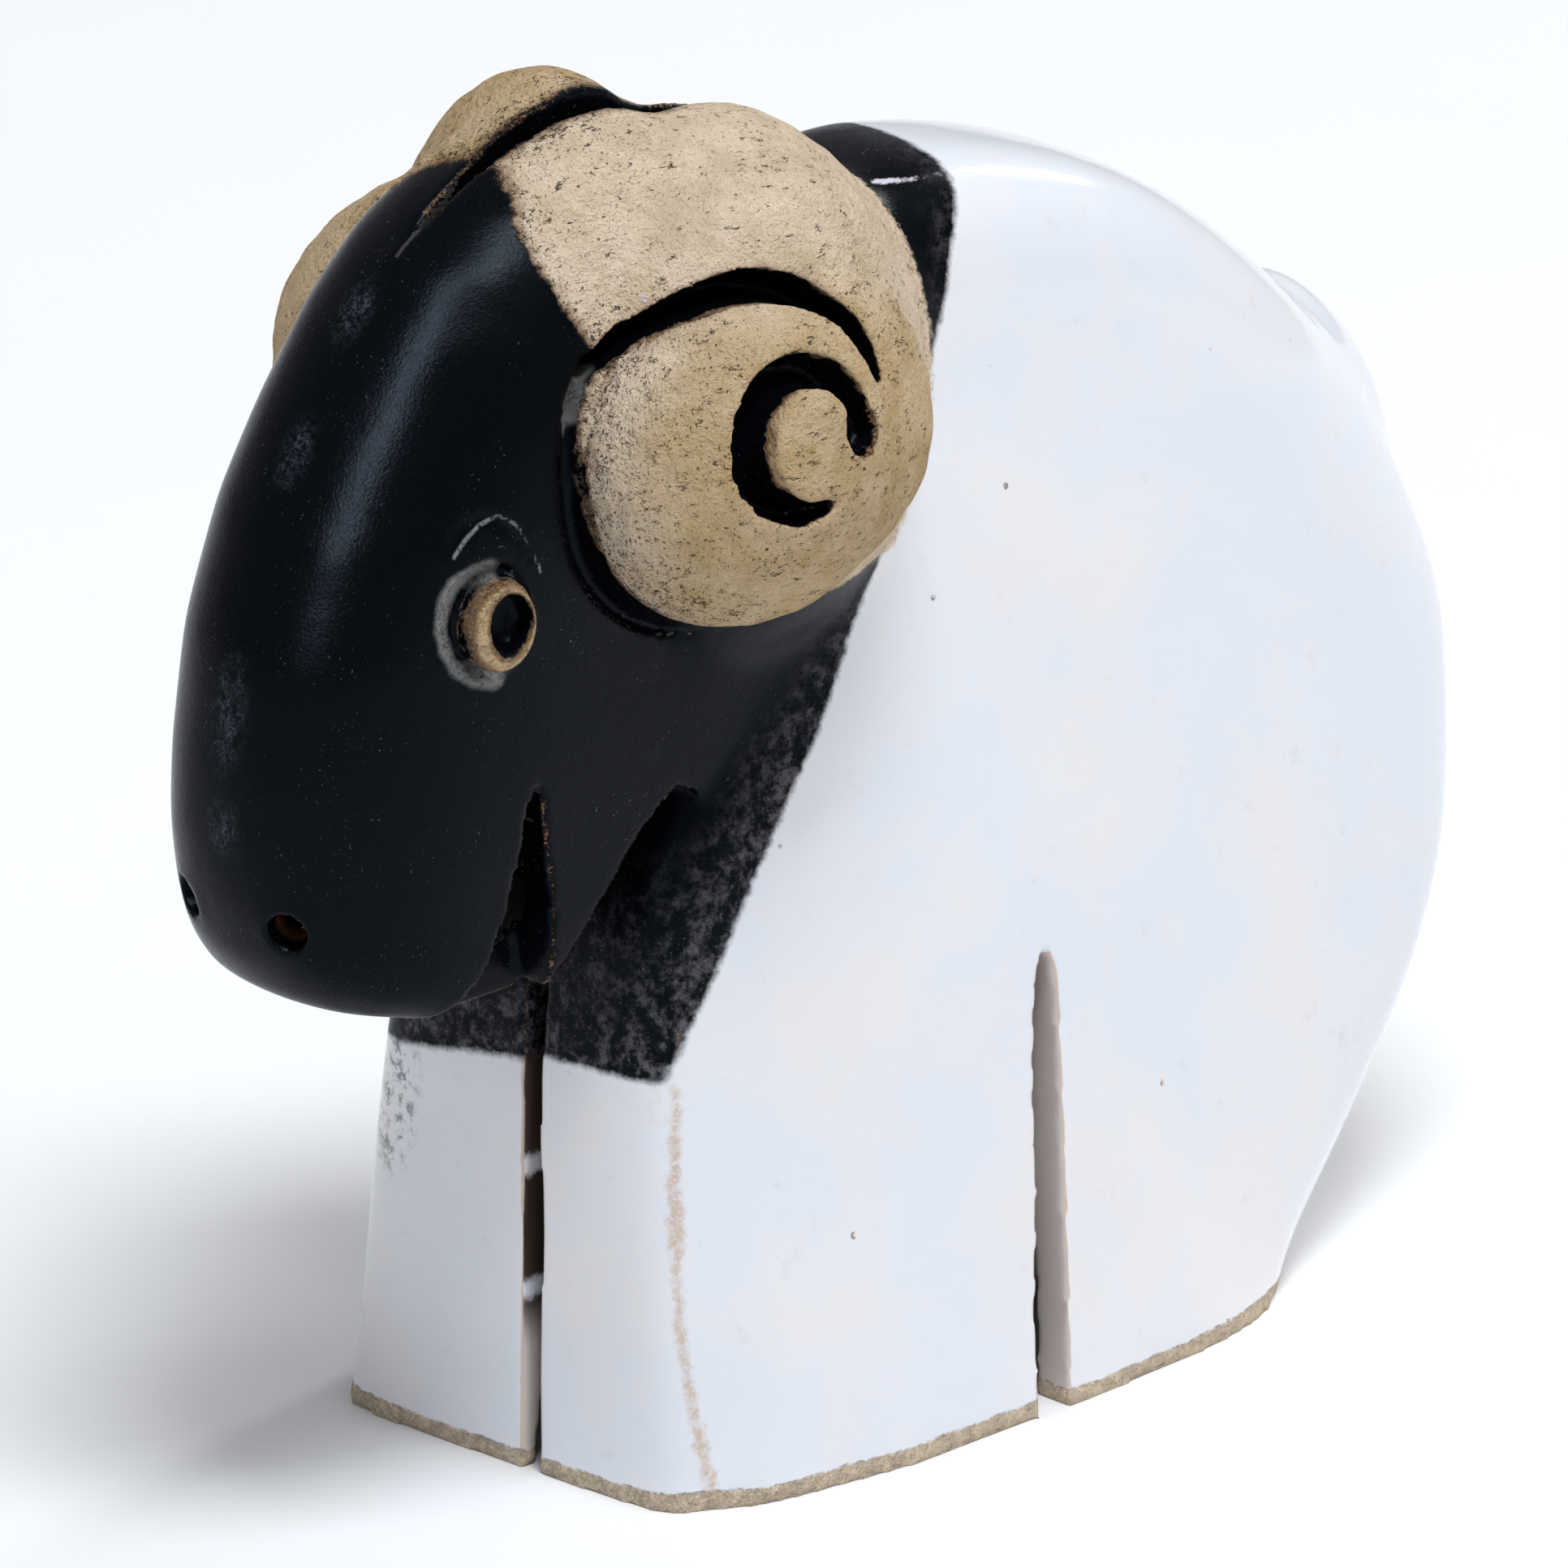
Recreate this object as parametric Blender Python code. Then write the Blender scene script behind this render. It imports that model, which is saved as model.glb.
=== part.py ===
"""A hand-built stoneware ram, about 18 cm tall: one hollow fired piece that stands on its open foot rim.

The ram faces -X, and +Z is up. The numbers below are measured from the middle of the foot, and the last
step moves the whole ram so that the origin is on the floor under the middle of its length.
The form is made as a potter makes it: a leaning-sided hollow body and a folded head are luted together,
two horn mounds are laid on, coiled cones are set on them, and then the legs, mouth and spirals are cut.
"""

import math

import bmesh
import bpy
import numpy as np
from mathutils import Matrix, Vector

MM = 0.001

# How thick the clay is
WALL = 6.0 * MM
HEAD_WALL = 5.0 * MM

# The body, seen from the side: (x, z) in millimetres from the front foot over the back to the hind foot.
# The outline runs on below the floor, where the foot cut takes it off.
BODY_OUTLINE = [
    (-54.0, -40), (-53.5, 0), (-53, 30), (-52, 55), (-50, 74), (-45.5, 88), (-39.5, 104), (-34, 125),
    (-26, 143), (-12, 153), (6, 157), (25, 153), (41, 146.5), (56, 137), (70, 124.5), (82, 110),
    (91, 93), (96, 77), (96.3, 61), (93.6, 45), (86, 30), (72, 14), (57.4, 0), (49, -14), (45, -40),
]
BODY_MIDDLE = (0.0, 72.0)
# The foot seen from above: (x, half width) in millimetres. The flanks lean in to the back.
FOOT_WIDTHS = [(-56, 27), (-42, 34), (-22, 38), (10, 39), (35, 38), (60, 34.5), (95, 30)]
BACK_SHARE = 0.44
# The front legs stand a little askew
SKEW = 0.06
SKEW_ABOUT_Y = -28.0 * MM
BACK_HEIGHT = 158.0 * MM
RIM_ROUNDNESS = 3.4
RIM_DEPTH = 24.0 * MM
CHEST_ROUNDNESS = 5.0
CHEST_DEPTH = 8.0 * MM

# The head: sections from chin to crown, each (height, nose, back, distance to full width, half width)
HEAD_SECTIONS = [
    (69.6, -86.1, -30, 14, 16.0),
    (70.8, -91.6, -30, 18, 18.0),
    (74.0, -97.0, -30, 22, 19.4),
    (79.0, -100.4, -30, 26, 20.2),
    (87.0, -102.6, -30, 29, 20.8),
    (95.0, -103.6, -28, 32, 21.4),
    (104, -103.1, -25, 34, 22.0),
    (119, -100.3, -20, 36, 22.6),
    (133, -95.1, -14, 36, 22.6),
    (144, -88.6, -10, 34, 21.7),
    (155, -81.1, -12, 31, 20.0),
    (163, -73.6, -20, 28, 17.5),
    (169, -65.1, -27, 24, 14.0),
    (173, -56.1, -34, 17, 9.5),
    (175, -49.1, -40, 7, 5.0),
]
NOSE_ROUNDNESS = 2.4
CHIN_RISE = 0.035
CHIN_BACK = -66.0 * MM
CHIN_TOP = 105.0 * MM

# The gap between jaw and chest, and the mouth slit in each cheek, seen from the side
JAW_GAP = [
    (-73, 55), (-66.4, 69), (-60.3, 77.6), (-53.8, 86.2), (-49.5, 90.6), (-46, 92.6), (-42.5, 91.2), (-38, 84),
    (-30, 55),
]
MOUTH_SLIT = [
    (-70.2, 101), (-71.6, 97), (-72.6, 91), (-74.2, 84), (-77, 76.5), (-83, 70.5), (-86, 66),
    (-64.5, 66), (-65.6, 74), (-66.6, 84), (-68.8, 94), (-69.4, 99),
]

# Horns: a mound on each side of the crown, made of ellipsoids given as (centre, radii).
# The left mound is one full dome, and the right one is lower behind its crest.
LEFT_MOUND = [((-30, -5, 134), (34, 26, 38)), ((-32, -16.5, 150), (24.5, 15, 19))]
RIGHT_MOUND = [((-40, 8, 140), (20, 21, 37)), ((-31, 5, 130), (33, 26, 34)), ((-34, 16.5, 149), (23, 15, 18))]
# A coiled cone is set on each mound
CONE_FOOT = Vector((-41.5, -22, 136)) * MM
CONE_AXIS = Vector((-0.06, -0.96, 0.275)).normalized()
# Its outline along its axis, as (degrees up from the rump side, radius): it swells where it meets the mound
CONE_RADIUS = 21.5
CONE_OUTLINE = [
    (-180, CONE_RADIUS), (-120, CONE_RADIUS), (-90, 21.8), (-70, 24.5), (-45, 29), (-22, 30.5), (0, 30.5),
    (20, 29), (40, 25), (60, 22), (90, CONE_RADIUS), (180, CONE_RADIUS),
]
# Its outline from the side, as (share of that radius, height)
CONE_PROFILE = [
    (0.97, -6), (1.0, 0), (1.0, 5), (0.97, 8.5), (0.875, 12.2), (0.73, 15.4), (0.56, 18.4), (0.38, 20.9),
    (0.17, 22.4),
]

# Legs: slots cut up from the foot, as (middle, height, full width there)
LEG_SLOT = [
    (3.2, -5, 4.6), (4.2, 12, 5.0), (5.4, 28, 4.4), (6.6, 42, 4.2), (7.6, 52, 3.8), (8.0, 56.5, 2.4),
    (8.1, 58, 0.8),
]
CHEST_SLOT = [
    (-4.8, -5, 2.4), (-4.6, 14, 2.2), (-4.4, 32, 2.6), (-4.0, 48, 2.2), (-3.6, 60, 3.2), (-3.6, 66, 2.2),
    (-3.6, 67.5, 0.8),
]
HIND_SLOT = [(1.0, -5, 4.4), (0.8, 12, 4.2), (0.4, 24, 3.8), (0.2, 32, 2.6), (0.2, 34, 0.8)]

# Face
NOSTRIL_RADIUS = 2.5 * MM
NOSTRIL = Vector((-100.5, -8.7, 85.4)) * MM
NOSTRIL_AXIS = Vector((-0.87, -0.37, -0.20))
EYE = Vector((-76.9, -21.7, 122.9)) * MM
EYE_AXIS = Vector((-0.22, -0.97, 0.06))
EYE_STRETCH = 1.22
EYE_PROFILE = [(4.9, -3.4), (4.9, 0.7), (4.5, 1.6), (3.7, 1.9), (3.0, 1.5), (2.6, 0.5), (2.5, -1.7), (0.6, -1.9)]
EYE_RECESS = Vector((-79, -21.2, 123.8)) * MM
EYE_RECESS_RADII = Vector((7.2, 3.0, 7.6)) * MM

# Grooves, each as (x, y, z, width) in millimetres on the left side of the ram, and how deep they go
BROW = [
    (-83.2, -19.0, 130.6, 0.5), (-82.4, -19.0, 133.2, 1.2), (-80.2, -19.3, 135.8, 1.5), (-77.3, -20.2, 136.5, 1.6),
    (-74.4, -21.2, 134.7, 1.5), (-72.2, -21.9, 131.2, 1.3), (-71.0, -22.3, 128.2, 0.6),
]
BROW_DEPTH = 1.1
WHORL = [
    (-60.8, -20.2, 150.6, 2.0), (-54.4, -21.3, 154.3, 2.6), (-50.4, -24.4, 156.7, 3.0), (-46.4, -26.5, 158.2, 3.8),
    (-41.1, -28.2, 158.9, 4.4), (-35.9, -30.6, 157.7, 4.4), (-31.9, -33.1, 155.3, 4.0), (-29.6, -35.6, 152.1, 3.6),
    (-28.8, -37.6, 148.9, 2.8), (-29.0, -39.3, 145.6, 1.4), (-29.6, -40.6, 142.4, 0.5),
]
WHORL_DEPTH = 7.5
UNDERCUT = [
    (-59.6, -20.0, 152.5, 1.6), (-63.0, -20.8, 147.5, 2.8), (-64.4, -21.6, 141, 3.2), (-64.6, -22.2, 135.5, 3.4),
    (-63.6, -22.4, 130, 3.4), (-61, -22.5, 124.5, 3.0), (-56.2, -22.8, 118.8, 2.4), (-50, -23.0, 115.0, 1.8),
    (-44, -23.4, 112.8, 0.8),
]
UNDERCUT_DEPTH = 2.4
SPIRAL = [
    (-40.7, -44.6, 135.3, 0.7), (-46.1, -43.9, 134.9, 3.0), (-50.3, -42.5, 137.5, 4.3), (-51.8, -41.0, 141.1, 4.9),
    (-50.8, -39.8, 145.5, 5.0), (-47.9, -38.7, 149.0, 4.8), (-43.7, -38.3, 150.9, 4.4), (-39.3, -39.0, 150.5, 4.5),
    (-36.1, -40.5, 148.3, 4.5), (-35.1, -41.9, 145.1, 4.2), (-36.6, -43.2, 142.5, 3.6),
]
SPIRAL_DEPTH = 7.0
# The parting between the horns, as (x, width, floor height) in millimetres
CROWN_SLIT = [
    (-73, 0.5, 163), (-68, 1.0, 163.5), (-62, 1.8, 165.5), (-55, 3.2, 167), (-47, 4.4, 167.5),
    (-38, 5.0, 166.5), (-28, 5.2, 163), (-18, 5.0, 159), (-8, 4.4, 155.5), (0, 3.6, 155),
]
CROWN_SLIT_TOP = 190

TAIL = Vector((84, 0, 103)) * MM
TAIL_RADII = Vector((7.5, 11, 20)) * MM
TAIL_LEAN = math.radians(-28)

# Half way between nose and rump, which the origin stands under
MIDDLE_X = -3.4 * MM

# How finely the joined clay is meshed before the cuts, and the shortest edge that the cuts may leave
CLAY_VOXEL = 1.1 * MM
SKIN_TRIANGLES = 3650
SHORTEST_EDGE = 0.04 * MM


def between(a, b, c, d, t):
    """A smooth (Catmull-Rom) curve from b to c, as t goes from 0 to 1, with a before them and d after."""
    bend = 2 * a - 5 * b + 4 * c - d
    twist = 3 * b - a - 3 * c + d
    return 0.5 * (2 * b + (c - a) * t + bend * t**2 + twist * t**3)


def smooth_loop(points, count):
    """count points at equal steps along a smooth closed curve through the points given, in metres."""
    knots = np.array(points, float) * MM
    fine = []
    for i in range(len(knots)):
        near = [knots[(i + k - 1) % len(knots)] for k in range(4)]
        fine += [between(*near, t) for t in np.linspace(0, 1, 24, endpoint=False)]
    fine = np.array(fine + [fine[0]])
    along = np.concatenate([[0], np.cumsum(np.linalg.norm(np.diff(fine, axis=0), axis=1))])
    steps = np.linspace(0, along[-1], count, endpoint=False)
    return np.column_stack([np.interp(steps, along, fine[:, axis]) for axis in range(2)])


def curved(places, values):
    """Values read off at whole and half places along a row of numbers, with a smooth curve between them."""
    padded = np.concatenate([[2 * values[0] - values[1]], values, [2 * values[-1] - values[-2]]])
    low = np.minimum(places.astype(int), len(values) - 2)
    return between(*(padded[low + k] for k in range(4)), places - low)


def inward(loop, distance):
    """The loop moved inwards by a distance. It runs with the inside on its right."""
    ahead = np.roll(loop, -1, axis=0) - np.roll(loop, 1, axis=0)
    ahead /= np.linalg.norm(ahead, axis=1)[:, None]
    return loop + distance * np.column_stack([ahead[:, 1], -ahead[:, 0]])


def added(name, mesh):
    obj = bpy.data.objects.new(name, mesh)
    bpy.context.scene.collection.objects.link(obj)
    return obj


def mesh_object(name, vertices, faces):
    mesh = bpy.data.meshes.new(name)
    mesh.from_pydata([tuple(v) for v in vertices], [], faces)
    work = bmesh.new()
    work.from_mesh(mesh)
    bmesh.ops.remove_doubles(work, verts=work.verts, dist=0.01 * MM)
    bmesh.ops.recalc_face_normals(work, faces=work.faces)
    work.to_mesh(mesh)
    work.free()
    return added(name, mesh)


def skin(name, rings):
    """A closed form through rings of points, capped at both ends."""
    count = len(rings[0])
    vertices = [point for ring in rings for point in ring]
    faces = []
    for r in range(len(rings) - 1):
        for i in range(count):
            j = (i + 1) % count
            faces.append((r * count + i, r * count + j, (r + 1) * count + j, (r + 1) * count + i))
    faces.append(tuple(range(count)))
    faces.append(tuple((len(rings) - 1) * count + i for i in range(count)))
    return mesh_object(name, vertices, faces)


def helper(obj):
    """A form that only joins or cuts another."""
    obj.hide_render = True
    obj.display_type = "WIRE"
    return obj


def boolean(obj, other, operation):
    modifier = obj.modifiers.new(f"{operation} {other.name}", "BOOLEAN")
    modifier.operation = operation
    modifier.object = helper(other)
    return obj


def chest_share(x, full_at, height, top, fade):
    """How much a point belongs to the chest: 1 in front and low down, and 0 behind or above."""
    forward = np.clip((-20 * MM - x) / full_at, 0, 1)
    return forward * np.clip((top - height) / fade, 0, 1)


def body_ring(points, share, inset):
    """A ring of the body at a share of its half width, which falls off upwards and to both ends."""
    x, z = points[:, :1], points[:, 1:]
    widths = np.array(FOOT_WIDTHS, float) * MM
    half_width = np.interp(x, widths[:, 0], widths[:, 1]) * (1 - (1 - BACK_SHARE) * z / BACK_HEIGHT)
    y = share * (half_width - inset)
    askew = SKEW * (y - SKEW_ABOUT_Y) * chest_share(x, 25 * MM, z, 110 * MM, 60 * MM)
    return np.hstack([x - askew, y, z])


def body_form(name, inset, around=132, across=25):
    """The hollow body's outer or inner form: two leaning flanks and a rim rounded over between them."""
    rim = smooth_loop(BODY_OUTLINE, around)
    middle = np.array(BODY_MIDDLE) * MM
    to_middle = middle - rim
    to_middle /= np.linalg.norm(to_middle, axis=1)[:, None]
    # the chest and front legs are boxy, the back and rump are round
    chest = chest_share(rim[:, :1], 25 * MM, rim[:, 1:], 110 * MM, 30 * MM)
    power = 2 / (RIM_ROUNDNESS + (CHEST_ROUNDNESS - RIM_ROUNDNESS) * chest)
    depth = RIM_DEPTH + (CHEST_DEPTH - RIM_DEPTH) * chest
    rings = []
    for turn in np.linspace(-math.pi / 2, math.pi / 2, across):
        reach = max(math.cos(turn), 0) ** power
        points = rim + to_middle * (inset + (depth - inset) * (1 - reach))
        share = np.sign(turn) * abs(math.sin(turn)) ** power
        rings.append(body_ring(points, 0.94 * share, inset))
    flanks = []
    for flank, sign in ((rings[0], -1), (rings[-1], 1)):
        edge = flank[:, [0, 2]]
        for share, width in ((0.25, 0.965), (0.55, 0.985), (0.93, 1.0)):
            flanks.append(body_ring(edge + (middle - edge) * share, sign * width, inset))
    return skin(name, flanks[2::-1] + rings + flanks[3:])


def head_section(height, nose, back, to_full, half_width, inset, steps):
    """One level of the head seen from above: a blunt nose that widens to the cheeks, then straight back."""
    nose, back, to_full, half_width = nose + inset, back - inset, to_full, half_width - inset
    side = []
    for turn in np.linspace(0, math.pi / 2, steps):
        along = nose + to_full * (1 - math.cos(turn) ** (2 / NOSE_ROUNDNESS))
        side.append((along, half_width * math.sin(turn) ** (2 / NOSE_ROUNDNESS)))
    for share in np.linspace(0, 1, 6)[1:]:
        side.append((nose + to_full + (back - nose - to_full) * share, half_width))
    loop = [(x, -y) for x, y in side] + [(x, y) for x, y in reversed(side[1:])]
    # the underside climbs towards the nose
    rise = CHIN_RISE * min(max((CHIN_TOP - height) / (CHIN_TOP - HEAD_SECTIONS[0][0] * MM), 0), 1)
    return [(x, y, height + rise * max(CHIN_BACK - x, 0)) for x, y in loop]


def head_form(name, inset, levels=41):
    """The head's outer or inner form, lofted from chin to crown. The inner one stops short of the narrow crown."""
    table = np.array(HEAD_SECTIONS[:-2] if inset else HEAD_SECTIONS, float) * MM
    low, high = table[0, 0] + inset, table[-1, 0] - 1.6 * inset
    rings = []
    for share in np.linspace(0, 1, levels):
        height = low + (high - low) * (share - 0.07 * math.sin(2 * math.pi * share))
        level = table[0, 0] + (table[-1, 0] - table[0, 0]) * (height - low) / (high - low)
        row = [np.interp(level, table[:, 0], table[:, column]) for column in range(1, 5)]
        rings.append(head_section(height, *row, inset, 9 if levels < 30 else 15))
    return skin(name, rings)


def prism(name, outline, y_from, y_to):
    """An outline in side view, in millimetres, carried straight across from one y to the other."""
    rings = [[(x * MM, y, z * MM) for x, z in outline] for y in (y_from, y_to)]
    return skin(name, rings)


def ellipsoid(name, centre, radii, fineness=4, turned=Matrix.Identity(4)):
    place = Matrix.Translation(centre) @ turned @ Matrix.Diagonal((*radii, 1))
    bm = bmesh.new()
    bmesh.ops.create_icosphere(bm, subdivisions=fineness, radius=1, matrix=place)
    mesh = bpy.data.meshes.new(name)
    bm.to_mesh(mesh)
    bm.free()
    return added(name, mesh)


def towards(axis):
    """The rotation that turns +Z to an axis and keeps +X level."""
    z = Vector(axis).normalized()
    x = Vector((0, 0, 1)).cross(z).normalized()
    y = z.cross(x)
    return Matrix((x, y, z)).transposed().to_4x4()


def turned_form(name, profile, centre, axis, stretch=1.0, steps=32):
    """A profile of (radius, height) in metres turned about an axis, stretched upright."""
    place = Matrix.Translation(centre) @ towards(axis)
    turns = np.linspace(0, 2 * math.pi, steps, endpoint=False)
    rings = [[place @ Vector((r * math.cos(a), stretch * r * math.sin(a), h)) for a in turns] for r, h in profile]
    return skin(name, rings)


def groove(name, path, depth, axis, side, steps=10):
    """A cutter that runs along a line on the surface, with an oval section that goes in along an axis."""
    rows = np.array(path, float)
    places = np.linspace(0, len(rows) - 1, 2 * len(rows) - 1)
    rows = np.column_stack([curved(places, rows[:, column]) for column in range(4)])
    knots = [mirrored(Vector(row[:3]) * MM, side) for row in rows]
    out = mirrored(axis, side).normalized()
    turns = np.linspace(0, 2 * math.pi, steps, endpoint=False)
    rings = []
    for i, knot in enumerate(knots):
        ahead = knots[min(i + 1, len(knots) - 1)] - knots[max(i - 1, 0)]
        across = ahead.cross(out).normalized() * rows[i, 3] / 2 * MM
        into = out * depth * MM * min(1, 0.35 + rows[i, 3] / 4)
        rings.append([knot + across * math.cos(t) + into * math.sin(t) for t in turns])
    return skin(name, rings)


def horn_cone(name, side, steps=48):
    """The coiled part of a horn before its spiral is cut: a dome with a spiral foot."""
    along = Vector((1, 0, 0))
    along = (along - CONE_AXIS * along.dot(CONE_AXIS)).normalized()
    up = along.cross(CONE_AXIS)
    table = np.array(CONE_OUTLINE, float)
    rings = []
    for share, height in CONE_PROFILE:
        ring = []
        for degrees in np.linspace(-180, 180, steps, endpoint=False):
            turn = math.radians(degrees)
            # the swelling dies out towards the tip
            radius = np.interp(degrees, table[:, 0], table[:, 1])
            radius = (radius * share + CONE_RADIUS * (1 - share)) * share
            out = along * math.cos(turn) + up * math.sin(turn)
            ring.append(mirrored(CONE_FOOT + (CONE_AXIS * height + out * radius) * MM, side))
        rings.append(ring)
    return skin(name, rings)


def mirrored(vector, side):
    """A point or direction given for the ram's left side (-Y), or its twin on the right."""
    return Vector((vector[0], -side * vector[1], vector[2]))


def slot_outline(slot):
    """The outline of a slot from (middle, height, width) rows."""
    return [(m - w / 2, h) for m, h, w in slot] + [(m + w / 2, h) for m, h, w in reversed(slot)]


def slot_across(name, slot, y_from, y_to):
    """A slot seen from the side, carried through both flanks."""
    return prism(name, slot_outline(slot), y_from, y_to)


def slot_along(name, slot, x_from, x_to):
    """A slot seen from the front, carried through the wall along X."""
    rings = [[(x, y * MM, z * MM) for y, z in slot_outline(slot)] for x in (x_from, x_to)]
    return skin(name, rings)


def crown_slit(name):
    """The parting between the horns, narrow at the brow and open behind."""
    rings = []
    for x, width, floor in CROWN_SLIT:
        corners = ((-0.5, floor), (0.5, floor), (0.5, CROWN_SLIT_TOP), (-0.5, CROWN_SLIT_TOP))
        rings.append([(x * MM, share * width * MM, z * MM) for share, z in corners])
    return skin(name, rings)


def finish_mesh(obj):
    """The finished mesh in place of its modifiers, without the needle-thin faces that cuts leave."""
    graph = bpy.context.evaluated_depsgraph_get()
    mesh = bpy.data.meshes.new_from_object(obj.evaluated_get(graph))
    work = bmesh.new()
    work.from_mesh(mesh)
    bmesh.ops.triangulate(work, faces=work.faces)
    bmesh.ops.dissolve_degenerate(work, dist=SHORTEST_EDGE, edges=work.edges)
    bmesh.ops.triangulate(work, faces=work.faces)
    work.to_mesh(mesh)
    work.free()
    obj.modifiers.clear()
    obj.data = mesh


def clear_scene():
    for obj in list(bpy.data.objects):
        bpy.data.objects.remove(obj, do_unlink=True)


def clay():
    material = bpy.data.materials.new("stoneware")
    material.use_nodes = True
    shader = material.node_tree.nodes["Principled BSDF"]
    shader.inputs["Base Color"].default_value = (0.80, 0.81, 0.84, 1)
    shader.inputs["Roughness"].default_value = 0.25
    return material


def joined_clay():
    """Body, head, horn mounds and tail, wiped together into one skin."""
    ram = body_form("ram_figurine", 0)
    boolean(ram, head_form("head_form", 0), "UNION")
    for number, (centre, radii) in enumerate(LEFT_MOUND + RIGHT_MOUND):
        boolean(ram, ellipsoid(f"mound_{number}", Vector(centre) * MM, Vector(radii) * MM), "UNION")
    tail = ellipsoid("tail", TAIL, TAIL_RADII, 4, Matrix.Rotation(TAIL_LEAN, 4, "Y"))
    boolean(ram, tail, "UNION")

    remesh = ram.modifiers.new("one skin of clay", "REMESH")
    remesh.mode = "VOXEL"
    remesh.voxel_size = CLAY_VOXEL
    soften = ram.modifiers.new("wiped joints", "SMOOTH")
    soften.iterations = 12
    soften.factor = 0.5
    bpy.context.view_layer.update()
    made = ram.evaluated_get(bpy.context.evaluated_depsgraph_get()).data
    thin = ram.modifiers.new("fewer faces", "DECIMATE")
    thin.ratio = SKIN_TRIANGLES / (2 * len(made.polygons))
    return ram


def hollow_out(ram):
    """The inside of the body and head, open at the foot."""
    cavity = body_form("cavity", WALL, 48, 9)
    head_cavity = head_form("head_cavity", HEAD_WALL, 14)
    # the throat wall closes the head behind the jaw
    throat = [(x / MM, z / MM) for x, z in inward(smooth_loop(JAW_GAP, 24), -HEAD_WALL)]
    boolean(head_cavity, prism("throat", throat, -70 * MM, 70 * MM), "DIFFERENCE")
    boolean(cavity, head_cavity, "UNION")
    boolean(ram, cavity, "DIFFERENCE")


def cut_legs(ram):
    boolean(ram, slot_across("leg_slots", LEG_SLOT, -70 * MM, 70 * MM), "DIFFERENCE")
    boolean(ram, slot_along("chest_slot", CHEST_SLOT, -75 * MM, -35 * MM), "DIFFERENCE")
    boolean(ram, slot_along("hind_slot", HIND_SLOT, 35 * MM, 120 * MM), "DIFFERENCE")


def carve_horn(ram, side, label):
    boolean(ram, groove(f"{label}_whorl", WHORL, WHORL_DEPTH, CONE_AXIS, side), "DIFFERENCE")
    boolean(ram, groove(f"{label}_undercut", UNDERCUT, UNDERCUT_DEPTH, CONE_AXIS, side), "DIFFERENCE")
    boolean(ram, groove(f"{label}_spiral", SPIRAL, SPIRAL_DEPTH, CONE_AXIS, side), "DIFFERENCE")


def carve_face(ram, side, label):
    boolean(ram, groove(f"{label}_brow", BROW, BROW_DEPTH, EYE_AXIS, side), "DIFFERENCE")
    recess = ellipsoid(f"{label}_eye_recess", mirrored(EYE_RECESS, side), EYE_RECESS_RADII, 3)
    boolean(ram, recess, "DIFFERENCE")
    profile = [(r * MM, h * MM) for r, h in EYE_PROFILE]
    place = (mirrored(EYE, side), mirrored(EYE_AXIS, side))
    boolean(ram, turned_form(f"{label}_eye", profile, *place, EYE_STRETCH, 24), "UNION")
    profile = [(NOSTRIL_RADIUS, -9 * MM), (NOSTRIL_RADIUS, 6 * MM)]
    place = (mirrored(NOSTRIL, side), mirrored(NOSTRIL_AXIS, side))
    boolean(ram, turned_form(f"{label}_nostril", profile, *place, 1, 20), "DIFFERENCE")
    boolean(ram, prism(f"{label}_mouth", MOUTH_SLIT, side * 13 * MM, side * 60 * MM), "DIFFERENCE")


def main():
    clear_scene()
    ram = joined_clay()
    gap = prism("jaw_gap", JAW_GAP, -60 * MM, 60 * MM)
    boolean(gap, body_form("chest_form", 0), "DIFFERENCE")
    boolean(ram, gap, "DIFFERENCE")
    for side, label in ((-1, "left"), (1, "right")):
        boolean(ram, horn_cone(f"{label}_cone", side), "UNION")
    hollow_out(ram)
    cut_legs(ram)
    for side, label in ((-1, "left"), (1, "right")):
        carve_horn(ram, side, label)
        carve_face(ram, side, label)
    boolean(ram, crown_slit("crown_slit"), "DIFFERENCE")
    floor = prism("below_floor", [(-200, -80), (-200, 0), (200, 0), (200, -80)], -90 * MM, 90 * MM)
    boolean(ram, floor, "DIFFERENCE")
    finish_mesh(ram)
    ram.data.materials.append(clay())
    for obj in bpy.data.objects:
        obj.location.x -= MIDDLE_X


main()
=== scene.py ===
"""The looks of the stoneware ram: glazed body and head, bare clay horns, floor, light and camera.

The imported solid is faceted, so its surface is made again as a fine mesh, smoothed between its cut edges,
and given the slow waves of a hand-built slab. Each vertex then carries a few measures in millimetres, such
as how far it is inside the black glaze or how hollow the surface is there, and one stoneware material
reads them. Places are in millimetres from the middle of the foot, as in the CAD source. The ram faces -X,
and the foot's middle is FOOT_X along X from the origin.
"""

import math

import bpy
import numpy as np
from mathutils import Matrix, Vector, kdtree, noise
from mathutils.bvhtree import BVHTree


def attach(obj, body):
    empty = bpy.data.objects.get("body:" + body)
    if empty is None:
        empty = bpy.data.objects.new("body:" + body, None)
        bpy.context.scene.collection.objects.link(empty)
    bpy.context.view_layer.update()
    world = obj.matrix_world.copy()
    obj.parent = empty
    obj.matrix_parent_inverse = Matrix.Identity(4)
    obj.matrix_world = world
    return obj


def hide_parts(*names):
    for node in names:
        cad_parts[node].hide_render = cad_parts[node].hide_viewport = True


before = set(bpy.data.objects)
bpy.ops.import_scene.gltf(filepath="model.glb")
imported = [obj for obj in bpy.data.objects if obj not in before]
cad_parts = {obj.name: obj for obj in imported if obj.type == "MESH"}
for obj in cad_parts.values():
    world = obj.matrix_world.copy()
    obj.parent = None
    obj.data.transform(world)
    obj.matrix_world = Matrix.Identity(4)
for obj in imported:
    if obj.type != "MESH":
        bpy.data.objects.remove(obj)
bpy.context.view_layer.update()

MM = 0.001
FOOT_X = 3.4

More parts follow.
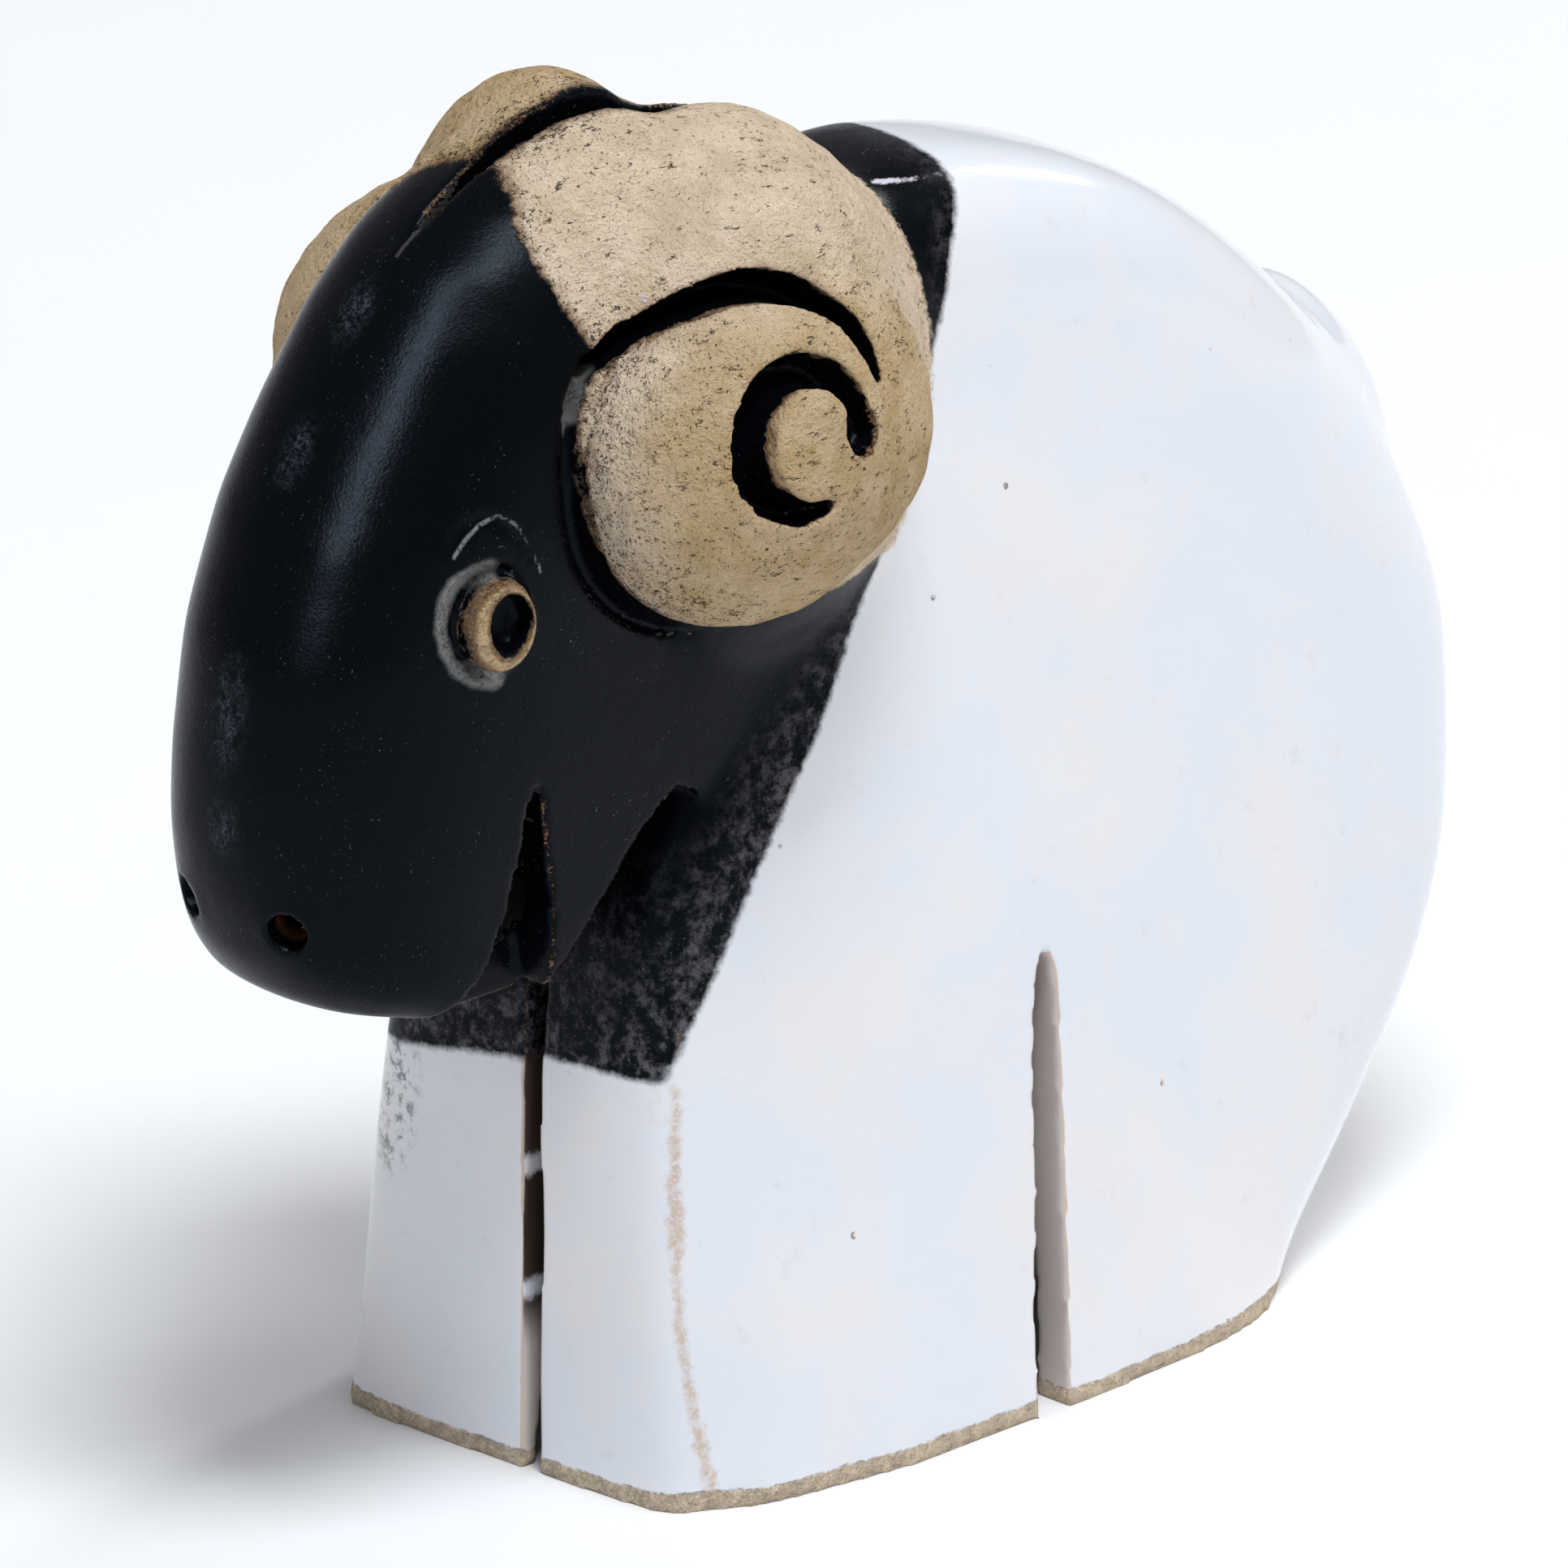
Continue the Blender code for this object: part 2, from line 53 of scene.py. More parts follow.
# The fine mesh
VOXEL = 0.6
CUT_EDGE_DEGREES = 38
SOFT_FROM, SOFT_FULL = 0.7, 3.2
SMOOTHING_STEPS = 110
SMOOTHING_LEVELS = 12
ROUNDING_STEPS = 14
INSIDE_SHARE = 0.1
EDGE_POINTS_APART = 0.4
# Rays that find what is free in front of a surface: how far off it they start, and how steeply they leave
RAY_START, RAY_FACING = 1.0, 0.2
FAR_AWAY = 1000
# The height of the slab's slow waves and of the bare clay's lumps, and how close together each lie
SLAB_WAVE, SLAB_PITCH = 0.35, 0.045
CLAY_WAVE, CLAY_PITCH = 0.22, 0.35

# Camera: the photograph's long lens, looking from the ram's front left, a little above
PHOTO_SIDE = 1932
PIXELS_PER_METRE = 10000
FOOT_MIDDLE_AT = (1011, 1647)
CAMERA_TURN, CAMERA_RISE = math.radians(45), math.radians(22.3)
CAMERA_DISTANCE = 6.0
SENSOR = 36

# Where the black glaze ends on the flank, as (height, x), and across the chest, as (y, height). The flank's
# edge slants, so a step along x is FLANK_SLANT of a step away from it
FLANK_SLANT = 0.87
FLANK_EDGE = [
    (50, -52), (60.5, -46.8), (65.7, -43.3), (73.2, -39.2), (84.8, -31.1), (94.4, -23.6), (109.1, -15.6),
    (135.1, -0.6), (145.7, 5.5), (152.1, 9.9), (156.5, 12.0),
]
CHEST_EDGE = [
    (-28, 56.5), (-23, 55.3), (-20, 55.0), (-6.4, 54.8), (-2.5, 53.5), (9.5, 51.6), (19.5, 49.7), (28, 49),
]

# Horns, as in the CAD source: mounds as (centre, radii), for the left and the right one
MOUNDS = {
    -1: [((-30, -5, 134), (34, 26, 38)), ((-32, -16.5, 150), (24.5, 15, 19))],
    1: [((-40, 8, 140), (20, 21, 37)), ((-31, 5, 130), (33, 26, 34)), ((-34, 16.5, 149), (23, 15, 18))],
}
CONE_FOOT = np.array([-41.5, -22, 136])
CONE_AXIS = np.array([-0.06, -0.96, 0.275]) / np.linalg.norm([-0.06, -0.96, 0.275])
# The cone's radius at each angle round its axis, in degrees
CONE_OUTLINE = [
    (-180, 21.5), (-120, 21.5), (-90, 21.8), (-70, 24.5), (-45, 29), (-22, 30.5), (0, 30.5), (20, 29),
    (40, 25), (60, 22), (90, 21.5), (180, 21.5),
]
# Where the bare clay of a mound starts on the brow, as (height, x), and the crown slit, as (x, width)
BROW_EDGE = [
    (116, -30), (135, -46), (147, -53), (151, -57.5), (154.4, -59.7), (159.3, -61.8), (163.8, -63.0),
    (167.5, -62.6), (170.8, -59.5), (174, -56),
]
MOUND_LOW = 114
# How far the clay reaches past a mound's ellipsoid, by x
MOUND_SPARE = [(-58, 17), (-20, 1.1)]
CONE_SPARE = 1.4
CLAY_EDGE = 0.6
CROWN_SLIT = [(-73, 0.5), (-62, 1.8), (-55, 3.2), (-47, 4.4), (-38, 5.0), (-18, 5.0), (0, 3.6), (6, 0)]
EYE = np.array([-76.9, -21.7, 122.9])
EYE_RADIUS = 4.9
EYE_STRETCH = np.array([1, 1.4, 1.22])
# The eye's hole: its place across and above the pellet's middle, its half sizes, how far it is poked off
# to the rear, and between which distances from the pellet's middle that fades out
HOLE_ACROSS = np.array([0.89, -0.46, 0])
HOLE_AT, HOLE_HALF = (1.0, 0.3), (2.6, 4.0)
HOLE_SHIFT = np.array([1.04, -0.55, 0.45])
HOLE_TALLER = 0.12
HOLE_SHIFT_FADES = (2.6, 4.6)
NOSTRIL = np.array([-100.5, -8.7, 85.4])
NOSTRIL_AXIS = np.array([-0.87, -0.37, -0.20]) / np.linalg.norm([-0.87, -0.37, -0.20])
NOSTRIL_REACH, NOSTRIL_DEPTH = 3.2, 12
FOOT_CLAY = 2.3
# How far out the grooves are looked for, round the horns and eyes and off the middle
GROOVE_REACH = 7
GROOVES_WITHIN = 4
# The cuts in the body below CUTS_TOP, as (middle x, middle y), half sizes and the axis their walls face
LEG_CUT = ((6, 0), (6, 60), 0)
CHEST_CUT = ((-60, -4.5), (18, 5), 1)
HIND_CUT = ((85, 0.5), (25, 5), 1)
CUTS_TOP = 74
# Heights where the glaze bridges the chest's cut
CHEST_BRIDGES = (39.6, 23.4)
# Grey lines on raised ridges of the left side, partly thin grey glaze and partly painted highlight, in
# millimetres, with how wide their finish spreads
GREY_LINES = [
    (0.3, [(-81.9, -19.0, 132.3), (-80.2, -19.3, 134.2), (-78.1, -19.7, 135.8), (-75.3, -20.1, 136.4),
           (-73.2, -21.1, 134.8), (-71.4, -21.5, 131.6), (-70.1, -22.2, 128.0)]),
    (1.5, [(-77.4, -20.8, 129.9), (-79.6, -20.2, 129.6), (-81.8, -19.5, 128.8), (-83.2, -19.3, 126.6),
           (-83.8, -19.5, 123.8), (-83.5, -20.0, 121.2), (-82.3, -20.8, 118.6), (-80.0, -21.4, 116.9),
           (-77.4, -21.8, 116.0)]),
    (0.3, [(-63.0, -18.9, 146.0), (-64.2, -20.2, 140.6), (-64.6, -20.6, 137.0), (-64.5, -21.0, 133.6),
           (-63.8, -21.5, 130.2), (-62.6, -22.0, 127.1), (-60.6, -22.6, 123.0), (-57.0, -23.0, 118.6)]),
    (1.6, [(-58.9, -17.9, 149.9), (-61.1, -18.8, 148.5), (-62.4, -19.2, 145.9)]),
]
# The thin glaze down the front corner
CORNER_LINE = [
    (-48.1, -23.3, 54.0), (-48.8, -23.8, 47.7), (-49.5, -24.3, 39.4), (-49.8, -25.0, 31.1),
    (-50.0, -25.8, 22.7), (-49.5, -26.7, 16.4), (-48.8, -27.7, 10.0), (-47.6, -29.0, 2.0),
]
# The round pocket at the spiral's inner end, as (place, radius, depth)
POCKET = (np.array([-35.2, -41.8, 142.2]), 3.1, 4.5)
# How deep in a groove the pocket's floor counts, so that it is painted dark: partly wash, partly painted
# shade
POCKET_DARKNESS = 0.7
# Brown, crumbly lines, and whitish streaks that are painted highlights on glossy rims, as their width and
# places
BROWN_LINES = [
    (0.4, [(-62.7, 1.1, 169.9), (-65.7, 1.0, 168.5), (-68.7, 0.8, 166.4), (-71.4, 0.8, 164.4),
           (-73, 0.7, 163.3)]),
    (0.35, [(-47.9, -23.2, 56), (-47.3, -22.8, 66), (-46.6, -22.2, 75)]),
]
# Painted highlights: whitish streaks where glossy rims catch the light
HIGHLIGHT_STREAK_LINES = [
    (0.55, [(0.2, -8.9, 155.4), (5.0, -10.5, 155.2), (8.3, -11.2, 154.9), (10.8, -10.8, 154.8),
            (13, -10.4, 154.7)]),
    (0.35, [(-52.1, -21.3, 158.6), (-52.6, -26.8, 154.8)]),
]
# Black spatter on the right front corner, as its middle and how far it reaches
SPATTER = np.array([-54.8, 20.0, 44.5])
SPATTER_REACH = np.array([12, 6.5, 15])
# Rubbed places down the nose ridge, as (x, y, z, length up the ridge)
SCUFF_HALF_LENGTH, SCUFF_HALF_WIDTH = 4, 3
SCUFFS = [(-77.5, 1.5, 156, 7), (-88.0, 0.5, 141, 6), (-101.2, 0, 112, 8), (-103.8, -0.5, 98, 4)]

# How the surface is shared between pieces: less open than HIDDEN_SHARE is inside, HORN_MARGIN round the
# bare clay goes with the horns, and the head takes the neck and shoulders, some way past the black glaze
HIDDEN_SHARE = 0.1
INSIDE_HALF_WIDTH = 33
HORN_MARGIN = 10
SHOULDERS = 40
SHOULDERS_LOW = 50


def even_directions(count):
    """Directions spread evenly over the whole sphere."""
    found = []
    for k in range(count):
        z = 1 - (2 * k + 1) / count
        turn = k * math.pi * (3 - math.sqrt(5))
        level = math.sqrt(1 - z * z)
        found.append(Vector((math.cos(turn) * level, math.sin(turn) * level, z)))
    return found


DIRECTIONS = even_directions(28)


def places(mesh):
    """The vertices in millimetres from the middle of the foot."""
    points = np.empty(len(mesh.vertices) * 3)
    mesh.vertices.foreach_get("co", points)
    return points.reshape(-1, 3) / MM - (FOOT_X, 0, 0)


def vertex_normals(mesh):
    normals = np.empty(len(mesh.vertices) * 3)
    mesh.vertices.foreach_get("normal", normals)
    return normals.reshape(-1, 3)


def added(name, mesh):
    obj = bpy.data.objects.new(name, mesh)
    bpy.context.scene.collection.objects.link(obj)
    return obj


def apply_modifiers(obj):
    graph = bpy.context.evaluated_depsgraph_get()
    mesh = bpy.data.meshes.new_from_object(obj.evaluated_get(graph))
    obj.modifiers.clear()
    obj.data = mesh
    return mesh


def welded(node):
    """A copy of the CAD node in which each corner's points are one."""
    obj = added("clay", node.data.copy())
    weld = obj.modifiers.new("weld", "WELD")
    weld.merge_threshold = 0.001 * MM
    apply_modifiers(obj)
    return obj


def cut_edge_points(mesh):
    """Points along the sharp edges that cuts left, close together."""
    points = places(mesh)
    sides = {}
    for polygon in mesh.polygons:
        for key in polygon.edge_keys:
            sides.setdefault(key, []).append(polygon.normal.copy())
    limit = math.cos(math.radians(CUT_EDGE_DEGREES))
    found = []
    for (a, b), normals in sides.items():
        if len(normals) == 2 and normals[0].dot(normals[1]) < limit:
            count = int(np.linalg.norm(points[a] - points[b]) / EDGE_POINTS_APART) + 1
            for share in np.linspace(0, 1, count + 1):
                found.append(points[a] * (1 - share) + points[b] * share)
    return found


def nearest_distance(points, targets):
    tree = kdtree.KDTree(len(targets))
    for index, target in enumerate(targets):
        tree.insert(target, index)
    tree.balance()
    return np.array([tree.find(point)[2] for point in points])


def ramp(value, low, high):
    """0 below low, 1 above high, and smooth between them."""
    t = np.clip((value - low) / (high - low), 0, 1)
    return t * t * (3 - 2 * t)


def smooth_mesh(obj, steps, share=None):
    """Moves each vertex towards the mean of its neighbours, some steps, by its share of the way."""
    smooth = obj.modifiers.new("smooth", "SMOOTH")
    smooth.iterations = steps
    smooth.factor = 0.5
    if share is not None:
        group = obj.vertex_groups.new(name="soft")
        levels = np.round(share * SMOOTHING_LEVELS).astype(int)
        for level in range(1, SMOOTHING_LEVELS + 1):
            group.add(np.flatnonzero(levels == level).tolist(), level / SMOOTHING_LEVELS, "REPLACE")
        smooth.vertex_group = group.name
    apply_modifiers(obj)
    obj.vertex_groups.clear()
    return places(obj.data)


def column(table, values):
    table = np.array(table, float)
    return np.interp(values, table[:, 0], table[:, 1])


def inside_black(p):
    """How far, in millimetres, a place is inside the black glaze."""
    flank = (column(FLANK_EDGE, p[:, 2]) - p[:, 0]) * FLANK_SLANT
    return np.minimum(flank, p[:, 2] - column(CHEST_EDGE, p[:, 1]))


def inside_mound(p, side):
    """How far a place is inside a horn mound's ellipsoids, near their surface."""
    nearest = np.full(len(p), -1e3)
    for centre, radii in MOUNDS[side]:
        away = p - centre
        share = np.linalg.norm(away / radii, axis=1)
        nearest = np.maximum(nearest, (1 - share) * np.linalg.norm(away, axis=1) / share)
    return nearest


def inside_clay(p, side):
    """How far a place is inside the bare clay of one horn."""
    q = p * (1, -side, 1)
    slit = np.abs(p[:, 1]) - column(CROWN_SLIT, p[:, 0]) / 2 - CLAY_EDGE
    mound = inside_mound(p, side) + column(MOUND_SPARE, q[:, 0])
    mound = np.minimum(mound, q[:, 0] - column(BROW_EDGE, q[:, 2]))
    mound = np.minimum(mound, q[:, 2] - MOUND_LOW)
    along = np.array([1, 0, 0]) - CONE_AXIS * CONE_AXIS[0]
    along /= np.linalg.norm(along)
    height = (q - CONE_FOOT) @ CONE_AXIS
    out = q - CONE_FOOT - np.outer(height, CONE_AXIS)
    turn = np.degrees(np.arctan2(out @ np.cross(along, CONE_AXIS), out @ along))
    beside = column(CONE_OUTLINE, turn) + CONE_SPARE - np.linalg.norm(out, axis=1)
    cone = np.minimum(height - CLAY_EDGE, beside)
    return np.maximum(np.minimum(mound, slit), cone)


def inside_eye(p, side):
    """How far a place is inside the eye's pellet, and outside its hole."""
    away = p * (1, -side, 1) - EYE
    across = (away @ HOLE_ACROSS - HOLE_AT[0]) / HOLE_HALF[0]
    above = (away[:, 2] - HOLE_AT[1]) / HOLE_HALF[1]
    from_hole = (np.hypot(across, above) - 1) * HOLE_HALF[0]
    return np.minimum(EYE_RADIUS - np.linalg.norm(away / EYE_STRETCH, axis=1), from_hole)


def hole_shift(p, side):
    """How a place moves as the eye's hole is poked a little to the rear and made taller."""
    away = p * (1, -side, 1) - EYE
    share = 1 - ramp(np.linalg.norm(away / EYE_STRETCH, axis=1), *HOLE_SHIFT_FADES)
    shift = HOLE_SHIFT + np.outer(away[:, 2] * HOLE_TALLER, (0, 0, 1))
    return shift * (1, -side, 1) * share[:, None]


def in_nostril(p, side):
    """How far in a nostril a place is, or -9 outside it."""
    away = p * (1, -side, 1) - NOSTRIL
    depth = -away @ NOSTRIL_AXIS
    beside = np.linalg.norm(away + np.outer(depth, NOSTRIL_AXIS), axis=1)
    return np.where((beside < NOSTRIL_REACH) & (depth < NOSTRIL_DEPTH), depth, -9)


def cut_wall(p, normals, cut):
    """How squarely a place faces across a cut in the body, so 1 on its walls and 0 away from it."""
    middle, half, axis = cut
    beside = np.all(np.abs(p[:, :2] - middle) < half, axis=1) & (p[:, 2] < CUTS_TOP)
    return np.where(beside, np.abs(normals[:, axis]), 0)


def scuff(p):
    """How much the glaze is rubbed along the nose ridge."""
    most = np.zeros(len(p))
    for x, y, z, length in SCUFFS:
        away = np.linalg.norm((p - (x, y, z)) / (SCUFF_HALF_LENGTH, SCUFF_HALF_WIDTH, length), axis=1)
        most = np.maximum(most, 1 - ramp(away, 0.2, 1.3))
    return most


def free_share(tree, start, normal, reach):
    """The share of the directions in front of a surface that are clear for some way."""
    normal = Vector(normal)
    start = Vector(start) + normal * RAY_START
    facing = [d for d in DIRECTIONS if d.dot(normal) > RAY_FACING]
    return sum(tree.ray_cast(start, d, reach)[0] is None for d in facing) / len(facing)


def line_distance(points, line):
    """How far each point is from a line through some places."""
    nearest = np.full(len(points), 1e3)
    for a, b in zip(np.array(line[:-1], float), np.array(line[1:], float)):
        share = np.clip((points - a) @ (b - a) / ((b - a) @ (b - a)), 0, 1)
        nearest = np.minimum(nearest, np.linalg.norm(points - a - np.outer(share, b - a), axis=1))
    return nearest


def on_left(points):
    """The same places, with those on the right side mirrored to the left."""
    return np.column_stack([points[:, 0], -np.abs(points[:, 1]), points[:, 2]])


def widths_from(points, lines):
    """How many widths each point is from the nearest of some lines."""
    return np.min([line_distance(points, line) / width for width, line in lines], axis=0)


def pocket_depth(p, side):
    """How far the spiral's pocket takes a place in."""
    place, radius, depth = POCKET
    away = p * (1, -side, 1) - place
    height = away @ CONE_AXIS
    share = np.linalg.norm(away - np.outer(height, CONE_AXIS), axis=1) / radius
    return depth * (1 - ramp(share, 0.75, 1.1)) * ramp(height, -depth, 1 - depth)


def openness(mesh):
    """A search tree of the coarse mesh, and for each of its faces the share of directions that are free."""
    points = places(mesh)
    tree = BVHTree.FromPolygons(points.tolist(), [tuple(p.vertices) for p in mesh.polygons])
    shares = []
    for polygon in mesh.polygons:
        middle = points[list(polygon.vertices)].mean(axis=0)
        shares.append(free_share(tree, middle, polygon.normal, FAR_AWAY))
    return tree, np.array(shares)


def cavity(tree, points, normals, near):
    """How deep in a groove each chosen vertex is: 0 where all is free for some way, and 1 where none is."""
    deep = np.zeros(len(points))
    for index in np.flatnonzero(near):
        deep[index] = 1 - free_share(tree, points[index], normals[index], GROOVE_REACH)
    return deep


def remade(obj, cut_edges):
    """Gives the solid even, fine quads, smoothed except at its cut edges, and returns its points."""
    remesh = obj.modifiers.new("voxels", "REMESH")
    remesh.mode = "VOXEL"
    remesh.voxel_size = VOXEL * MM
    points = places(apply_modifiers(obj))
    smooth_mesh(obj, SMOOTHING_STEPS, ramp(nearest_distance(points, cut_edges), SOFT_FROM, SOFT_FULL))
    return smooth_mesh(obj, 2)


def waves(points, clay):
    """How far the slab's slow waves and the clay's lumps lift each point. They fade out at the foot."""
    slab = np.array([noise.noise(place * SLAB_PITCH) for place in map(Vector, points)])
    lumps = np.array([noise.noise(place * CLAY_PITCH) for place in map(Vector, points)])
    wave = slab * SLAB_WAVE + lumps * CLAY_WAVE * ramp(clay, -0.5, 1)
    return wave * ramp(points[:, 2], 0.5, 4)


def poked(points):
    """The points with the spirals' pockets and eyes' holes pushed in, and how far in a pocket each is."""
    sunk = np.zeros(len(points))
    for side in (-1, 1):
        into = pocket_depth(points, side)
        sunk = np.maximum(sunk, into / POCKET[2])
        points = points - np.outer(into, CONE_AXIS * (1, -side, 1))
        points = points + hole_shift(points, side)
    return points, sunk


def on_either_side(measure, points):
    return np.maximum(measure(points, -1), measure(points, 1))


def painted(points, normals):
    """The measures that say where glazes, lines and cut walls are."""
    left = on_left(points)
    return {
        "black": inside_black(points),
        "scuff": scuff(points),
        "grey": widths_from(left, GREY_LINES),
        "brown": widths_from(left, BROWN_LINES),
        "highlight_streak": widths_from(points, HIGHLIGHT_STREAK_LINES),
        "corner": line_distance(left, CORNER_LINE),
        "nostril": on_either_side(in_nostril, points),
        "leg_cut": np.maximum(cut_wall(points, normals, LEG_CUT), cut_wall(points, normals, HIND_CUT)),
        "chest_cut": cut_wall(points, normals, CHEST_CUT),
        "spatter": 1 - np.linalg.norm((points - SPATTER) / SPATTER_REACH, axis=1),
    }


def fine_surface():
    """The whole ram's points, quads, normals and measures."""
    obj = welded(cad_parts["ram_figurine"])
    cut_edges = cut_edge_points(obj.data)
    tree, free = openness(obj.data)
    points = remade(obj, cut_edges)
    clay = on_either_side(inside_clay, points)
    free = free[[tree.find_nearest(point)[2] for point in points]]
    points = points + vertex_normals(obj.data) * waves(points, clay)[:, None]
    points, sunk = poked(points)
    obj.data.vertices.foreach_set("co", ((points + (FOOT_X, 0, 0)) * MM).ravel())
    obj.data.update()

    normals = vertex_normals(obj.data)
    quads = np.empty(len(obj.data.loops), np.int32)
    obj.data.loops.foreach_get("vertex_index", quads)
    eye = on_either_side(inside_eye, points)
    near = (np.maximum(clay, eye) > -GROOVES_WITHIN) & (np.abs(points[:, 1]) > GROOVES_WITHIN)
    # The spiral's pocket counts as deep, so its floor is painted dark, partly as shade
    deep = np.maximum(cavity(tree, points, normals, near), sunk * POCKET_DARKNESS)
    hollow = ((smooth_mesh(obj, ROUNDING_STEPS) - points) * normals).sum(axis=1)
    measures = {"hollow": hollow, "deep": deep, "clay": clay, "eye": eye, "open": free}
    bpy.data.objects.remove(obj, do_unlink=True)
    return points, quads.reshape(-1, 4), normals, measures | painted(points, normals)


def sorted_faces(points, quads, measures):
    """The faces of each piece. The borders don't show, and keep each piece under 200,000 triangles."""
    centre = points[quads].mean(axis=1)
    free, clay = (measures[name][quads].mean(axis=1) for name in ("open", "clay"))
    wall = np.maximum(measures["leg_cut"], measures["chest_cut"])[quads].max(axis=1)
    left = centre[:, 1] < 0
    inside = (free < HIDDEN_SHARE) & (clay < -1) & (wall < 0.5) & (np.abs(centre[:, 1]) < INSIDE_HALF_WIDTH)
    horn = ~inside & (clay > -HORN_MARGIN)
    before_flank = centre[:, 0] < column(FLANK_EDGE, centre[:, 2]) + SHOULDERS
    head = ~inside & ~horn & before_flank & (centre[:, 2] > SHOULDERS_LOW)
    flank = ~inside & ~horn & ~head
    return {
        "inside": inside,
        "left_horn": horn & left,
        "right_horn": horn & ~left,
        "head": head,
        "left_flank": flank & left,
        "right_flank": flank & ~left,
    }


def piece(name, surface, chosen):
    """One piece of the surface, with the whole surface's normals, so that no seam shows between pieces."""
    points, quads, normals, measures = surface
    used, faces = np.unique(quads[chosen], return_inverse=True)
    mesh = bpy.data.meshes.new(name)
    mesh.from_pydata((points[used] + (FOOT_X, 0, 0)) * MM, [], faces.reshape(-1, 4).tolist())
    for measure, values in measures.items():
        attribute = mesh.attributes.new(measure, "FLOAT", "POINT")
        attribute.data.foreach_set("value", values[used].astype(np.float32))
    mesh.polygons.foreach_set("use_smooth", np.ones(len(mesh.polygons), bool))
    mesh.normals_split_custom_set_from_vertices(normals[used].tolist())
    obj = added(name, mesh)
    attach(obj, "root")
    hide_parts("ram_figurine")
    return obj


class Nodes:
    """Short calls that add a material's nodes and link them, with its place in millimetres."""

    def __init__(self, name):
        self.material = bpy.data.materials.new(name)
        self.material.use_nodes = True
        self.tree = self.material.node_tree
        self.shader = self.tree.nodes["Principled BSDF"]
        place = self.node("ShaderNodeTexCoord", {}, output="Object")
        self.place = self.node("ShaderNodeVectorMath", {0: place, "Scale": 1 / MM}, operation="SCALE")

    def put(self, socket, value):
        if isinstance(value, bpy.types.NodeSocket):
            self.tree.links.new(value, socket)
        else:
            socket.default_value = value

    def set(self, **inputs):
        """Sets or links inputs of the shader, named with _ for each space."""
        for name, value in inputs.items():
            self.put(self.shader.inputs[name.replace("_", " ")], value)

    def node(self, kind, inputs, output=0, **settings):
        made = self.tree.nodes.new(kind)
        for name, value in settings.items():
            setattr(made, name, value)
        for name, value in inputs.items():
            self.put(made.inputs[name], value)
        return made.outputs[output]

    def calc(self, operation, a, b=0.0, c=0.0):
        return self.node("ShaderNodeMath", {0: a, 1: b, 2: c}, operation=operation)

    def measure(self, name):
        return self.node("ShaderNodeAttribute", {}, output="Fac", attribute_name=name)

    def along(self, axis):
        return self.node("ShaderNodeSeparateXYZ", {"Vector": self.place}, output=axis)

    def ramp(self, value, low, high, at_low=0.0, at_high=1.0):
        values = {"Value": value, "From Min": low, "From Max": high, "To Min": at_low, "To Max": at_high}
        return self.node("ShaderNodeMapRange", values, interpolation_type="SMOOTHSTEP")

    def mix(self, share, a, b):
        mixed = self.tree.nodes.new("ShaderNodeMix")
        mixed.data_type = "RGBA"
        for socket, value in ((mixed.inputs[0], share), (mixed.inputs[6], a), (mixed.inputs[7], b)):
            self.put(socket, value)
        return mixed.outputs[2]

    def noise(self, size, detail=2.0, rough=0.5, stretch=(1, 1, 1), turn=(0, 0, 0)):
        """Noise from 0 to 1 with features of some size in millimetres."""
        mapping = {"Vector": self.place, "Rotation": turn, "Scale": [s / size for s in stretch]}
        scaled = self.node("ShaderNodeMapping", mapping)
        values = {"Vector": scaled, "Scale": 1.0, "Detail": detail, "Roughness": rough}
        return self.node("ShaderNodeTexNoise", values)

    def around(self, value, spread):
        """Noise moved to swing round 0."""
        return self.calc("MULTIPLY", self.calc("SUBTRACT", value, 0.5), spread)

    def total(self, first, *others):
        for other in others:
            first = self.calc("ADD", first, other)
        return first

    def both(self, first, *others):
        for other in others:
            first = self.calc("MULTIPLY", first, other)
        return first

    def most(self, first, *others):
        for other in others:
            first = self.calc("MAXIMUM", first, other)
        return first

    def away(self, value, middle):
        """How far a value is from a middle one."""
        return self.calc("ABSOLUTE", self.calc("SUBTRACT", value, middle))

    def unless(self, share, *others):
        for other in others:
            share = self.both(share, self.calc("SUBTRACT", 1.0, other))
        return share

    def bump(self, relief):
        """Gives the shader a relief in millimetres."""
        self.set(Normal=self.node("ShaderNodeBump", {"Height": relief, "Distance": MM, "Strength": 1.0}))


WHITE_GLAZE = (0.75, 0.78, 0.83, 1)
WARM_WHITE = (0.80, 0.79, 0.80, 1)
THIN_WHITE = (0.60, 0.46, 0.35, 1)
CUT_SHADE = (0.60, 0.54, 0.51, 1)
CHEST_CUT_SHADE = (0.06, 0.04, 0.03, 1)
SPECK = (0.22, 0.13, 0.07, 1)
BLACK_GLAZE = (0.0012, 0.0018, 0.0028, 1)
MOTTLE = (0.11, 0.105, 0.12, 1)
BLACK_EDGE = (0.36, 0.20, 0.09, 1)
# Grey of thin glaze on the ridges and of pinhole specks, partly painted highlight and glints
GREY_GLAZE_AND_HIGHLIGHT = (0.24, 0.24, 0.23, 1)
NOSTRIL_BROWN = (0.11, 0.045, 0.02, 1)
# Painted highlight for the streaks on glossy rims
PAINTED_HIGHLIGHT_STREAK = (0.72, 0.66, 0.76, 1)
SCUFFED = (0.10, 0.105, 0.14, 1)
BUFF = (0.80, 0.65, 0.48, 1)
BUFF_DARK = (0.68, 0.53, 0.37, 1)
CONE_BUFF = (0.62, 0.46, 0.28, 1)
CONE_BUFF_DARK = (0.52, 0.37, 0.19, 1)
# Brown of burnt clay, also painted as shade on the grooves' rims
BURNT_AND_GROOVE_SHADE = (0.16, 0.075, 0.03, 1)
